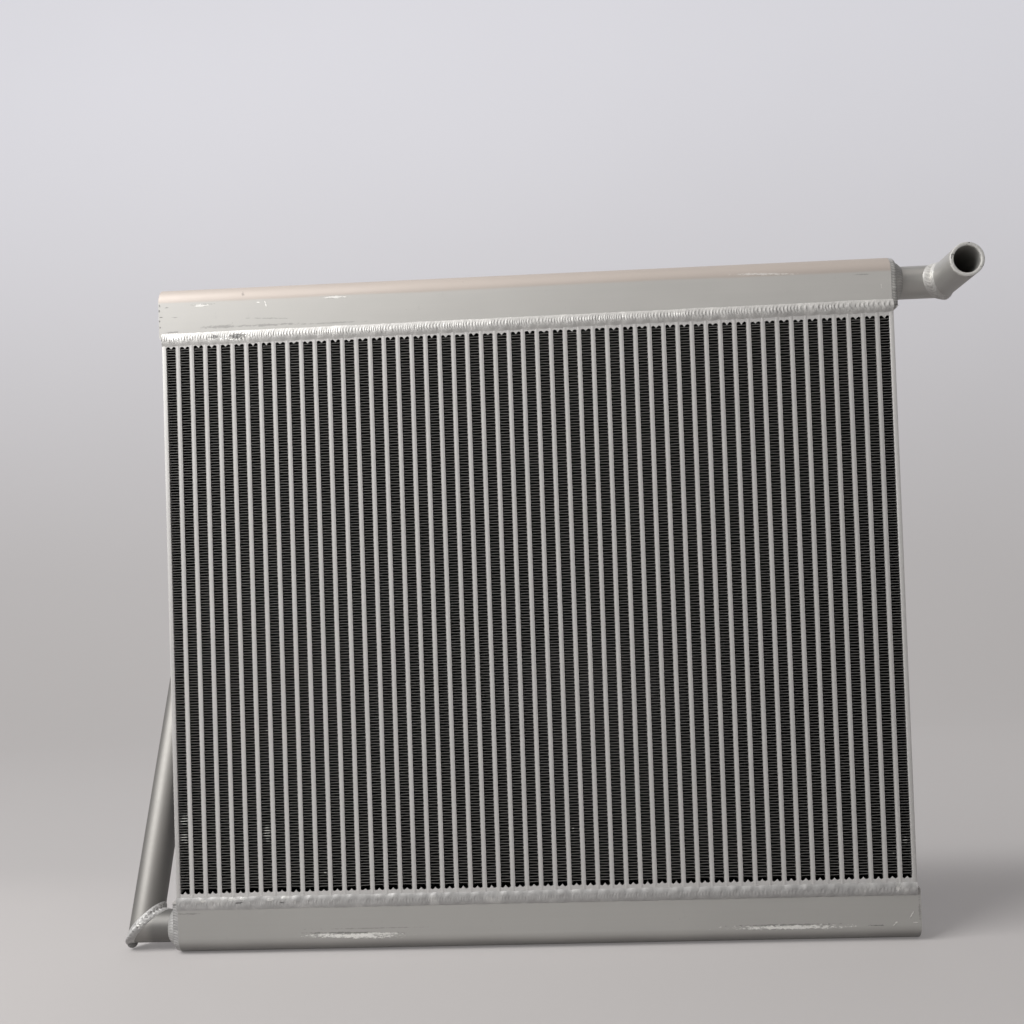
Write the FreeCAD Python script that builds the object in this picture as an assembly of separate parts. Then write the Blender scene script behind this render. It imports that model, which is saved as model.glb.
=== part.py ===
import FreeCAD, Part

import math
import os

# Engine radiator: a brazed core of air fins and fluid passages, with a welded tank along its top and bottom
# and a mitred pipe on each tank. Millimetres. +Z is up, the front faces -Y and +X is to the right.
# The origin is under the middle of the core, on the face that the bottom tank stands on.

# Core
column_count = 52
fin_width = 9.0
long_bar_width = 3.0
long_bar_depth = 6.0
sheet_thickness = 0.5
core_depth = 50.0
core_height = 530.0
side_plate_thickness = 4.0

# Air fin. A real one has a leg every 2.5 mm; the fold here is coarser and keeps its height, depth and run.
fin_fold_pitch = 50.0
fin_foil_thickness = 0.4

# Turbulator in each fluid passage, folded across the depth and open along the height
turbulator_fold_pitch = 12.5
turbulator_foil_thickness = 0.4

# End bars, which close each air column and have a spiked inner edge
end_bar_height = 9.0
end_bar_shoulder_rise = 0.8
end_bar_spike_rise = 2.4
end_bar_valley_offset = 2.3

# Tanks
tank_height = 48.0
tank_wall = 4.0
tank_corner_radius = 16.0
tank_plain_overhang = 2.5
tank_pipe_end_inset = 1.0

# End caps: a set-on one at the pipe end and a flush one inside the plain end
pipe_cap_thickness = 6.0
pipe_cap_margin = 3.0
plain_cap_thickness = 8.0

# Pipes
pipe_diameter = 30.0
pipe_wall = 3.0
stub_axis_from_tank_face = 21.0
outlet_reach = 53.0
outlet_spout_length = 66.0
inlet_reach = 40.0
inlet_riser_length = 266.0
inlet_riser_lean_deg = 26.0

# Weld beads
seam_bead_width = 12.0
seam_bead_height = 3.0
side_bead_leg = 2.5
stub_bead_leg_on_cap = 5.0
stub_bead_leg_on_pipe = 8.0
stub_bead_toe = 0.5
mitre_bead_width = 8.0
mitre_bead_height = 2.0
round_bead_facets = 12

# Sizes that follow
passage_width = long_bar_width + 2 * sheet_thickness
column_pitch = fin_width + passage_width
passage_count = column_count - 1
fin_field_width = column_count * fin_width + passage_count * passage_width
plate_outer_x = fin_field_width / 2 + side_plate_thickness
half_depth = core_depth / 2
core_bottom = tank_height
core_top = core_bottom + core_height
end_bar_tip = end_bar_height + end_bar_spike_rise
tank_pipe_end_x = plate_outer_x - tank_pipe_end_inset
tank_plain_end_x = plate_outer_x + tank_plain_overhang
pipe_cap_face_x = tank_pipe_end_x + pipe_cap_thickness
pipe_radius = pipe_diameter / 2
X_AXIS = FreeCAD.Vector(1, 0, 0)
Y_AXIS = FreeCAD.Vector(0, 1, 0)
Z_AXIS = FreeCAD.Vector(0, 0, 1)

# The top tank has its pipe on the right and the bottom tank on the left. "outward" is the way that a tank's
# closed side faces, along Z, and "side" is the way that its pipe leaves, along X.
TOP = {"seam_z": core_top, "outward": 1, "side": 1}
BOTTOM = {"seam_z": core_bottom, "outward": -1, "side": -1}


# Helpers
def box(x, y, z):
    """A box from three (low, high) ranges."""
    corner = FreeCAD.Vector(x[0], y[0], z[0])
    return Part.makeBox(x[1] - x[0], y[1] - y[0], z[1] - z[0], corner)


def polygon_face(points):
    return Part.Face(Part.makePolygon(points + points[:1]))


def column_centres():
    """The middle of each air column, from left to right."""
    first = -(column_count - 1) * column_pitch / 2
    return [first + i * column_pitch for i in range(column_count)]


def passage_centres():
    """The middle of each fluid passage, which lies between two air columns."""
    first = -(passage_count - 1) * column_pitch / 2
    return [first + i * column_pitch for i in range(passage_count)]


def copies(shape, centres):
    """One copy of the shape at each place along X, as separate solids."""
    placed = []
    for x in centres:
        placed.append(shape.translated(FreeCAD.Vector(x, 0, 0)))
    return Part.makeCompound(placed)


def folded_strip(width, length, pitch, thickness):
    """The section of a strip folded to and fro over a width, as (across, along) points from along = 0.

    Its crests touch both walls. Its two sides are the same fold, moved apart across the width.
    """
    legs = round(length / pitch)
    rise = length / legs
    apart = thickness * math.hypot(width, rise) / rise
    left = []
    right = []
    for i in range(legs + 1):
        along = i * rise
        if i % 2:
            left.append((width / 2 - apart, along))
            right.append((width / 2, along))
        else:
            left.append((-width / 2, along))
            right.append((-width / 2 + apart, along))
    return left + right[::-1]


# Core
def make_air_fins():
    low = core_bottom + end_bar_tip
    length = core_height - 2 * end_bar_tip
    section = folded_strip(fin_width, length, fin_fold_pitch, fin_foil_thickness)
    points = [FreeCAD.Vector(x, -half_depth, low + z) for x, z in section]
    fin = polygon_face(points).extrude(Y_AXIS * core_depth)
    return copies(fin, column_centres())


def make_parting_sheets():
    half = long_bar_width / 2
    y = (-half_depth, half_depth)
    z = (core_bottom, core_top)
    left = box((-half - sheet_thickness, -half), y, z)
    right = box((half, half + sheet_thickness), y, z)
    return copies(Part.makeCompound([left, right]), passage_centres())


def make_long_bars(front):
    """The bars that close the fluid passages on one face of the core."""
    x = (-long_bar_width / 2, long_bar_width / 2)
    if front:
        y = (-half_depth, -half_depth + long_bar_depth)
    else:
        y = (half_depth - long_bar_depth, half_depth)
    return copies(box(x, y, (core_bottom, core_top)), passage_centres())


def make_turbulators():
    run = core_depth - 2 * long_bar_depth
    section = folded_strip(long_bar_width, run, turbulator_fold_pitch, turbulator_foil_thickness)
    points = [FreeCAD.Vector(x, y - run / 2, core_bottom) for x, y in section]
    turbulator = polygon_face(points).extrude(Z_AXIS * core_height)
    return copies(turbulator, passage_centres())


def make_end_bars(tank):
    """The bars that close the air columns at one tank, each with its spike towards the fin."""
    half = fin_width / 2
    profile = [
        (-half, 0),
        (half, 0),
        (half, end_bar_height + end_bar_shoulder_rise),
        (end_bar_valley_offset, end_bar_height),
        (0, end_bar_tip),
        (-end_bar_valley_offset, end_bar_height),
        (-half, end_bar_height + end_bar_shoulder_rise),
    ]
    points = []
    for x, inward in profile:
        points.append(FreeCAD.Vector(x, -half_depth, tank["seam_z"] - tank["outward"] * inward))
    bar = polygon_face(points).extrude(Y_AXIS * core_depth)
    return copies(bar, column_centres())


def make_side_plate(side):
    inner = side * (plate_outer_x - side_plate_thickness)
    outer = side * plate_outer_x
    return box(sorted((inner, outer)), (-half_depth, half_depth), (core_bottom, core_top))


# Tanks
def tank_outline(tank, x, margin):
    """The closed outline of a tank's section at x, drawn in by a margin on its three outer sides."""
    seam = tank["seam_z"]
    up = tank["outward"]
    half = half_depth - margin
    face = seam + up * (tank_height - margin)
    radius = tank_corner_radius - margin
    knee = radius * (1 - math.sqrt(0.5))

    def at(y, z):
        return FreeCAD.Vector(x, y, z)

    front_low = at(-half, seam)
    front_high = at(-half, face - up * radius)
    front_mid = at(-half + knee, face - up * knee)
    flat_front = at(-half + radius, face)
    flat_rear = at(half - radius, face)
    rear_mid = at(half - knee, face - up * knee)
    rear_high = at(half, face - up * radius)
    rear_low = at(half, seam)
    edges = [
        Part.LineSegment(front_low, front_high).toShape(),
        Part.Arc(front_high, front_mid, flat_front).toShape(),
        Part.LineSegment(flat_front, flat_rear).toShape(),
        Part.Arc(flat_rear, rear_mid, rear_high).toShape(),
        Part.LineSegment(rear_high, rear_low).toShape(),
        Part.LineSegment(rear_low, front_low).toShape(),
    ]
    return Part.Wire(edges)


def tank_prism(tank, margin, start_x, end_x):
    """A tank's section, drawn in by a margin, between two places along X."""
    return Part.Face(tank_outline(tank, start_x, margin)).extrude(X_AXIS * (end_x - start_x))


def make_tank(tank):
    """The U channel, which stands on the core with its open side."""
    plain_end = -tank["side"] * tank_plain_end_x
    pipe_end = tank["side"] * tank_pipe_end_x
    outside = tank_prism(tank, 0, plain_end, pipe_end)
    inside = tank_prism(tank, tank_wall, plain_end, pipe_end)
    return outside.cut(inside)


def make_plain_caps():
    """The flush caps inside the tanks' plain ends, each reaching over the side plate below it."""
    caps = []
    for tank in (TOP, BOTTOM):
        end = -tank["side"] * tank_plain_end_x
        inner = end + tank["side"] * plain_cap_thickness
        caps.append(tank_prism(tank, tank_wall, end, inner))
    return Part.makeCompound(caps)


def make_pipe_caps():
    """The caps set on the tanks' pipe ends, each with a hole that takes the stub."""
    caps = []
    for tank in (TOP, BOTTOM):
        inner = tank["side"] * tank_pipe_end_x
        face = tank["side"] * pipe_cap_face_x
        plate = tank_prism(tank, pipe_cap_margin, inner, face)
        hole = cylinder(stub_start(tank), X_AXIS * tank["side"], pipe_radius, pipe_cap_thickness)
        caps.append(plate.cut(hole))
    return Part.makeCompound(caps)


# Pipes
def cylinder(start, direction, radius, length):
    return Part.makeCylinder(radius, length, start, direction)


def tube(start, direction, radius, length):
    return cylinder(start, direction, radius, length).cut(cylinder(start, direction, radius - pipe_wall, length))


def facet_ring(centre, direction, across, radius):
    """The outline of a round bead laid in flat facets, each of which touches the radius at its middle.

    "across" is a direction square to the pipe, where the first corner lies.
    """
    sideways = direction.cross(across)
    corner_radius = radius / math.cos(math.pi / round_bead_facets)
    points = []
    for i in range(round_bead_facets + 1):
        angle = 2 * math.pi * i / round_bead_facets
        points.append(centre + (across * math.cos(angle) + sideways * math.sin(angle)) * corner_radius)
    return Part.makePolygon(points)


def stub_start(tank):
    """Where a stub's axis meets the inner face of its end cap."""
    z = tank["seam_z"] + tank["outward"] * (tank_height - stub_axis_from_tank_face)
    return FreeCAD.Vector(tank["side"] * tank_pipe_end_x, 0, z)


def pipe_run(tank):
    """The two directions of a pipe, along its stub and beyond the mitre, and the corner between them."""
    if tank is TOP:
        beyond = Y_AXIS * -1
        reach = outlet_reach
        length = outlet_spout_length
    else:
        lean = math.radians(inlet_riser_lean_deg)
        beyond = FreeCAD.Vector(0, math.sin(lean), math.cos(lean))
        reach = inlet_reach
        length = inlet_riser_length
    start = stub_start(tank)
    corner = FreeCAD.Vector(tank["side"] * (plate_outer_x + reach), 0, start.z)
    return {"along": X_AXIS * tank["side"], "beyond": beyond, "start": start, "corner": corner, "length": length}


def slab(point, normal, low, high, width):
    """A square slab across the normal at a point, between two distances along that normal."""
    block = Part.makeBox(width, width, high - low, FreeCAD.Vector(-width / 2, -width / 2, low))
    block.Placement = FreeCAD.Placement(point, FreeCAD.Rotation(Z_AXIS, normal)).multiply(block.Placement)
    return block


def mitre_normal(run):
    """The mitre's plane halves the turn, so that its normal lies midway between the two directions."""
    return (run["along"] + run["beyond"]).normalize()


def mitred(run, radius, rod):
    """The stub and the pipe beyond it, each cut at the mitre. "rod" makes the uncut length of either."""
    reach = (run["corner"] - run["start"]).Length
    spare = 3 * radius
    half_size = 2 * (reach + run["length"] + spare)
    normal = mitre_normal(run)
    stub = rod(run["start"], run["along"], radius, reach + spare)
    far = rod(run["corner"] - run["beyond"] * spare, run["beyond"], radius, run["length"] + spare)
    before = slab(run["corner"], normal, -half_size, 0, 2 * half_size)
    after = slab(run["corner"], normal, 0, half_size, 2 * half_size)
    return stub.common(before), far.common(after)


def make_pipe(tank):
    return mitred(pipe_run(tank), pipe_radius, tube)


# Weld beads
def make_seam_weld(tank, front):
    """The long convex bead over the joint between a tank and the core."""
    face = -half_depth if front else half_depth
    out = -1 if front else 1
    half = seam_bead_width / 2
    low = FreeCAD.Vector(-plate_outer_x, face, tank["seam_z"] - half)
    crown = FreeCAD.Vector(-plate_outer_x, face + out * seam_bead_height, tank["seam_z"])
    high = FreeCAD.Vector(-plate_outer_x, face, tank["seam_z"] + half)
    edges = [Part.Arc(low, crown, high).toShape(), Part.LineSegment(high, low).toShape()]
    return Part.Face(Part.Wire(edges)).extrude(X_AXIS * (2 * plate_outer_x))


def make_side_seam_welds():
    """The short fillets in the corner between a side plate and what overhangs it at each tank's ends."""
    beads = []
    for tank in (TOP, BOTTOM):
        for side in (-1, 1):
            plate = side * plate_outer_x
            seam = tank["seam_z"]
            corner = FreeCAD.Vector(plate, -half_depth, seam)
            outer = FreeCAD.Vector(plate + side * side_bead_leg, -half_depth, seam)
            inner = FreeCAD.Vector(plate, -half_depth, seam - tank["outward"] * side_bead_leg)
            beads.append(polygon_face([corner, outer, inner]).extrude(Y_AXIS * core_depth))
    return Part.makeCompound(beads)


def make_cap_welds():
    """The beads round the set-on caps, which fill the step between the cap's rim and the tank's edge."""
    beads = []
    for tank in (TOP, BOTTOM):
        inner = tank["side"] * tank_pipe_end_x
        face = tank["side"] * pipe_cap_face_x
        at_tank = tank_outline(tank, inner, 0)
        at_cap = tank_outline(tank, face, pipe_cap_margin)
        sloped = Part.makeLoft([at_tank, at_cap], True, True)
        beads.append(sloped.cut(tank_prism(tank, pipe_cap_margin, inner, face)))
    return Part.makeCompound(beads)


def make_stub_welds():
    """The fillets round the stubs, kept within the rim of the cap that they lie on."""
    beads = []
    for tank in (TOP, BOTTOM):
        away = X_AXIS * tank["side"]
        start = stub_start(tank) + away * pipe_cap_thickness
        end = start + away * stub_bead_leg_on_pipe
        at_cap = facet_ring(start, away, Z_AXIS, pipe_radius + stub_bead_leg_on_cap)
        at_pipe = facet_ring(end, away, Z_AXIS, pipe_radius + stub_bead_toe)
        inner = Part.Face(facet_ring(start, away, Z_AXIS, pipe_radius)).extrude(away * stub_bead_leg_on_pipe)
        fillet = Part.makeLoft([at_cap, at_pipe], True, True).cut(inner)
        beads.append(fillet.common(tank_prism(tank, pipe_cap_margin, start.x, end.x)))
    return Part.makeCompound(beads)


def make_mitre_welds():
    """The raised bands over the mitres, in flat facets, each band as wide as the slab that cuts it."""
    beads = []
    for tank in (TOP, BOTTOM):
        run = pipe_run(tank)
        across = run["along"].cross(run["beyond"]).normalize()

        def faceted(start, direction, radius, length):
            return Part.Face(facet_ring(start, direction, across, radius)).extrude(direction * length)

        half = mitre_bead_width / 2
        band = slab(run["corner"], mitre_normal(run), -half, half, 6 * pipe_diameter)
        outer_stub, outer_far = mitred(run, pipe_radius + mitre_bead_height, faceted)
        inner_stub, inner_far = mitred(run, pipe_radius, faceted)
        raised = outer_stub.fuse(outer_far).common(band)
        beads.append(raised.cut(inner_stub.fuse(inner_far)))
    return Part.makeCompound(beads)


def build():
    """Each piece of the radiator by its name."""
    outlet_stub, outlet_spout = make_pipe(TOP)
    inlet_stub, inlet_riser = make_pipe(BOTTOM)
    return {
        "air_fins": make_air_fins(),
        "parting_sheets": make_parting_sheets(),
        "front_long_bars": make_long_bars(True),
        "rear_long_bars": make_long_bars(False),
        "turbulators": make_turbulators(),
        "top_end_bars": make_end_bars(TOP),
        "bottom_end_bars": make_end_bars(BOTTOM),
        "left_side_plate": make_side_plate(-1),
        "right_side_plate": make_side_plate(1),
        "top_tank": make_tank(TOP),
        "bottom_tank": make_tank(BOTTOM),
        "plain_end_caps": make_plain_caps(),
        "pipe_end_caps": make_pipe_caps(),
        "pipe_stubs": Part.makeCompound([outlet_stub, inlet_stub]),
        "outlet_spout": outlet_spout,
        "inlet_riser": inlet_riser,
        "top_front_seam_weld": make_seam_weld(TOP, True),
        "top_rear_seam_weld": make_seam_weld(TOP, False),
        "bottom_front_seam_weld": make_seam_weld(BOTTOM, True),
        "bottom_rear_seam_weld": make_seam_weld(BOTTOM, False),
        "side_seam_welds": make_side_seam_welds(),
        "cap_welds": make_cap_welds(),
        "stub_welds": make_stub_welds(),
        "mitre_welds": make_mitre_welds(),
    }


def main():
    os.makedirs("parts", exist_ok=True)
    for name, shape in build().items():
        if not shape.isValid():
            print("not valid:", name)
        shape.exportStep(os.path.join("parts", name + ".step"))
        bounds = shape.BoundBox
        print(f"{name}: {len(shape.Solids)} solids, {shape.Volume / 1000:.1f} cm3, {bounds}")


main()
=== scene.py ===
import math
import random

import bmesh
import bpy
from bpy.props import FloatProperty, FloatVectorProperty, IntProperty, PointerProperty
from mathutils import Matrix, Quaternion, Vector, noise


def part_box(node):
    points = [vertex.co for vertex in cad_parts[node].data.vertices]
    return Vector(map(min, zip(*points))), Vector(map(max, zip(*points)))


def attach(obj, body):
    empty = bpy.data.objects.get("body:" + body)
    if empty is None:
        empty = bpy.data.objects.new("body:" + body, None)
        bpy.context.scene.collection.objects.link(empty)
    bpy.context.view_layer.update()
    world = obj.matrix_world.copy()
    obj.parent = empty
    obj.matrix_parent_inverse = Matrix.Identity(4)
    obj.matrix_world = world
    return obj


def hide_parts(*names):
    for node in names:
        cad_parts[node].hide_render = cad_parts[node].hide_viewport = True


bl_info = {
    "name": "Bar-and-plate radiator",
    "version": (1, 0, 0),
    "blender": (4, 5, 0),
    "location": "3D View > Sidebar > Radiator",
    "description": "Dresses a bar-and-plate radiator with folded fins, weld beads, tanks, pipes and paint",
    "category": "Object",
}

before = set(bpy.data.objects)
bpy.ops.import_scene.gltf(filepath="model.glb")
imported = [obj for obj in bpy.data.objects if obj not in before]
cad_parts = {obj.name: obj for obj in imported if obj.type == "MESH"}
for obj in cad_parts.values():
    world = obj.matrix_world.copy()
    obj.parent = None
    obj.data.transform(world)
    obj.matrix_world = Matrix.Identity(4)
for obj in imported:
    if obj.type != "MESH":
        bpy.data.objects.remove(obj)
MM = 0.001

# The core's faces and corners, in metres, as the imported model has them
CORE_LOW, CORE_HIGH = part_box("parting_sheets")
CORE_FRONT = CORE_LOW.y
CORE_REAR = CORE_HIGH.y
CORE_FOOT = CORE_LOW.z
CORE_HEAD = CORE_HIGH.z
PLATE_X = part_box("right_side_plate")[1].x
TANK_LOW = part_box("bottom_tank")[0]
TANK_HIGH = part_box("top_tank")[1]
PLAIN_END_X = -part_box("top_tank")[0].x
PIPE_END_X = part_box("top_tank")[1].x
CAP_FACE_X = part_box("pipe_end_caps")[1].x


# Sizes and colours that a user would change
def length(name, description, default):
    return FloatProperty(name=name, description=description, default=default, unit="LENGTH", precision=5)


def angle(name, description, degrees):
    return FloatProperty(name=name, description=description, default=math.radians(degrees), subtype="ANGLE")


def colour(name, description, default):
    return FloatVectorProperty(
        name=name, description=description, default=default, subtype="COLOR", size=3, min=0, max=1
    )


class CoreSizes(bpy.types.PropertyGroup):
    columns: IntProperty(name="Columns", description="Air columns across the core", default=52)
    column_step: length("Column step", "From the middle of one air column to the next", 0.013)
    column_width: length("Column width", "Clear width of an air column", 0.009)
    fin_pitch: length("Fin pitch", "From one leg of the folded fin to the next", 0.0025)
    fin_foil: length("Fin foil", "Thickness of the fin's foil", 0.0005)
    fin_crest: length("Fin crest", "Straight part of a fold where it lies on the sheet", 0.0022)
    fin_drop: length("Fin drop", "How far a leg falls from either face to the middle of the core", 0.0025)
    fin_recess: length("Fin recess", "How far the foil stays behind the bars' faces", 0.0005)
    fin_start: length("Fin start", "From the seam to the first leg, past the end bar's spike", 0.0117)
    bar_edge: length("Bar edge", "Rounding along the edges of bars and plates", 0.00025)
    end_bar_valley: length("End bar valley", "Height of an end bar at the lowest point of its arches", 0.009)
    end_bar_horn: length("End bar horn", "Height of an end bar at the walls of the column", 0.0099)
    end_bar_spike: length("End bar spike", "Height of an end bar at the tip of its spike", 0.0114)


class TankSizes(bpy.types.PropertyGroup):
    wall: length("Wall", "Thickness of the tank's wall", 0.004)
    corner_radius: length("Corner radius", "Outer radius of the tank's long corners", 0.016)
    cap_margin: length("Cap margin", "Step from the tank's edge to the rim of a set-on cap", 0.003)


class PipeSizes(bpy.types.PropertyGroup):
    radius: length("Radius", "Outer radius of the pipes", 0.015)
    wall: length("Wall", "Wall of the pipes", 0.003)
    axis_from_face: length("Axis from tank face", "From the tank's closed side to the stub's axis", 0.021)
    outlet_reach: length("Outlet reach", "From the side plate to the outlet's mitre", 0.053)
    outlet_length: length("Outlet length", "Length of the outlet spout along its axis", 0.066)
    inlet_reach: length("Inlet reach", "From the side plate to the inlet's mitre", 0.040)
    inlet_length: length("Inlet length", "Length of the inlet riser along its axis", 0.266)
    inlet_lean: angle("Inlet lean", "How far the inlet riser leans back from upright", 26.0)


class WeldSizes(bpy.types.PropertyGroup):
    seam_width: length("Seam width", "Width of the long seam beads", 0.012)
    seam_height: length("Seam height", "Height of the long seam beads", 0.003)
    ripple_step: length("Ripple step", "From one ripple of a bead to the next", 0.0025)
    ripple_height: length("Ripple height", "Height of a ripple's edge", 0.0009)
    mitre_width: length("Mitre width", "Width of the beads over the mitres", 0.014)
    mitre_height: length("Mitre height", "Height of the beads over the mitres", 0.002)
    stub_leg_on_cap: length("Stub bead on cap", "Reach of a stub's bead over its cap", 0.005)
    stub_leg_on_pipe: length("Stub bead on pipe", "Reach of a stub's bead along the pipe", 0.008)
    corner_leg: length("Corner bead", "Reach of the short beads at the side plates", 0.0025)
    cap_corner_leg: length("Corner bead at a cap", "Reach of those that lie under a set-on cap", 0.0046)
    tip_ball: length("Tip ball", "Radius of the ball of weld at the inlet's tip", 0.0049)


class Colours(bpy.types.PropertyGroup):
    paint: colour("Paint", "Satin silver-grey paint on the tanks and pipes", (0.47, 0.46, 0.44))
    # Inlet paint is the tank paint darkened: painted shade on the inlet pipe
    shaded_inlet_paint: colour("Inlet paint", "The soiled paint on the inlet pipe", (0.235, 0.227, 0.215))
    bar_paint: colour("Bar paint", "The same paint on the bars, dulled by overspray", (0.49, 0.48, 0.47))
    weld: colour("Weld", "Weld beads under thin paint", (0.52, 0.511, 0.495))
    # Dull weld is the weld colour darkened: painted shade on the bottom tank's and the inlet's beads
    shaded_weld: colour("Dull weld", "The duller beads of the bottom tank and the inlet", (0.37, 0.365, 0.36))
    bare: colour("Bare metal", "Bare aluminium where paint is missing", (0.80, 0.79, 0.76))
    # The foil deep in the core is near-black: painted shade
    fin_shade: colour("Fin inside", "The foil deep in the core", (0.004, 0.004, 0.004))
    fin_edge: colour("Fin edge", "The foil's edges at the faces", (0.15, 0.146, 0.141))
    # Grime is dirt, and also the painted shade at the bottom tank's foot and the riser's flanks
    grime_and_shade: colour("Grime", "Dirt and scuffs", (0.06, 0.06, 0.06))
    # A warm tint for the top of the tank: partly a dusty film, partly painted warm light from above
    dust_and_warm_light: colour("Dust", "Warm film on the top tank's shoulder", (0.455, 0.395, 0.355))
    floor: colour("Floor", "Floor", (0.455, 0.435, 0.43))
    wall: colour("Wall", "Backdrop", (0.72, 0.715, 0.76))


GROUPS = {
    "radiator_core": CoreSizes,
    "radiator_tanks": TankSizes,
    "radiator_pipes": PipeSizes,
    "radiator_welds": WeldSizes,
    "radiator_colours": Colours,
}

# How finely the shapes are divided
CORNER_STEPS = 12
TANK_SECTIONS = 24
PIPE_SEGMENTS = 72
PIPE_SECTION = 0.012
END_BAR_STEPS = 8
SEAM_STATIONS = 1640
CORNER_BEAD_STATIONS = 110
MITRE_RIPPLE_STATIONS = 9
ROUND_RIPPLE_STATIONS = 6

PIPE_RIM_ROUND = 0.0005
TIP_PLACE = (-0.3924, -0.003, 0.0064)
CREASE = 40.0
BEAD_CREASE = 60.0


# Finishes
class Socket:
    """One output in a finish's nodes. An expression on it adds Math nodes."""

    def __init__(self, finish, output):
        self.finish = finish
        self.output = output

    def maths(self, operation, *values):
        return self.finish.node("ShaderNodeMath", {"operation": operation}, dict(enumerate(values)))

    def __add__(self, other):
        return self.maths("ADD", self, other)

    def __sub__(self, other):
        return self.maths("SUBTRACT", self, other)

    def __rsub__(self, other):
        return self.maths("SUBTRACT", other, self)

    def __mul__(self, other):
        return self.maths("MULTIPLY", self, other)

    def __truediv__(self, other):
        return self.maths("DIVIDE", self, other)

    def __pow__(self, other):
        return self.maths("POWER", self, other)

    def __abs__(self):
        return self.maths("ABSOLUTE", self)

    def most(self, other):
        return self.maths("MAXIMUM", self, other)

    __radd__ = __add__
    __rmul__ = __mul__


class Finish:
    """A material made of nodes. Its place is the Object coordinate in millimetres."""

    def __init__(self, name):
        self.material = bpy.data.materials.new(name)
        self.material.use_nodes = True
        self.tree = self.material.node_tree
        self.shader = self.tree.nodes["Principled BSDF"]
        metres = self.node("ShaderNodeTexCoord", output="Object")
        self.place = self.node("ShaderNodeVectorMath", {"operation": "SCALE"}, {0: metres, "Scale": 1 / MM})
        self.x = self.axis("X")
        self.y = self.axis("Y")
        self.z = self.axis("Z")

    def node(self, kind, settings=None, inputs=None, output=0):
        """Adds a node: its settings first, then the values or links of its sockets."""
        made = self.tree.nodes.new(kind)
        for key, value in (settings or {}).items():
            setattr(made, key, value)
        for key, value in (inputs or {}).items():
            self.feed(made.inputs[key], value)
        return Socket(self, made.outputs[output])

    def feed(self, target, value):
        if isinstance(value, Socket):
            self.tree.links.new(value.output, target)
        elif target.type == "RGBA":
            target.default_value = (*value, 1)
        else:
            target.default_value = value

    def axis(self, name):
        return self.node("ShaderNodeSeparateXYZ", inputs={0: self.place}, output=name)

    def noise(self, scale, detail=2.0, stretch=(1, 1, 1), shift=(0, 0, 0), roughness=0.5):
        """Noise from 0 to 1, with scale in waves per millimetre, squeezed along the axes by stretch."""
        turned = self.node("ShaderNodeMapping", inputs={0: self.place, "Location": shift, "Scale": stretch})
        sockets = {"Vector": turned, "Scale": scale, "Detail": detail, "Roughness": roughness}
        return self.node("ShaderNodeTexNoise", inputs=sockets, output="Fac")

    def span(self, value, low, high, start=0.0, end=1.0):
        """Maps a value from low to high onto start to end, and holds it there beyond."""
        sockets = {"Value": value, "From Min": low, "From Max": high, "To Min": start, "To Max": end}
        return self.node("ShaderNodeMapRange", {"interpolation_type": "SMOOTHSTEP"}, sockets)

    def mix(self, share, first, second):
        """Mixes two colours."""
        sockets = {0: share, 6: first, 7: second}
        return self.node("ShaderNodeMix", {"data_type": "RGBA"}, sockets, output=2)

    def tinted(self, first, factor):
        """A colour made lighter or darker by a value."""
        return self.node("ShaderNodeVectorMath", {"operation": "SCALE"}, {0: first, "Scale": factor})

    def bump(self, height, distance, strength=1.0):
        """A bump whose height of 1 stands for a distance in metres."""
        sockets = {"Height": height, "Distance": distance, "Strength": strength}
        return self.node("ShaderNodeBump", inputs=sockets)

    def patch(self, centre, half_size, turn=0.0, ragged=1.0):
        """A broken patch on the front, 1 inside and 0 outside.

        Centre and half size are (x, z) in millimetres. Patches stay on what lies forward of y = -14.
        """
        across = self.x - centre[0]
        up = self.z - centre[1]
        if turn:
            c = math.cos(turn)
            s = math.sin(turn)
            across, up = across * c + up * s, up * c - across * s
        away = ((across / half_size[0]) ** 2.0 + (up / half_size[1]) ** 2.0) ** 0.5
        torn = self.noise(0.55, 4.0, stretch=(0.45, 1, 1), shift=(centre[0], 0, centre[1]), roughness=0.7)
        inside = self.span(1 - away + (torn - 0.5) * (3.0 * ragged), 0.05, 0.6)
        return inside * self.span(self.y, -14.0, -18.0)

    def set(self, **values):
        for key, value in values.items():
            self.feed(self.shader.inputs[key.replace("_", " ")], value)
        return self.material


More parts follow.
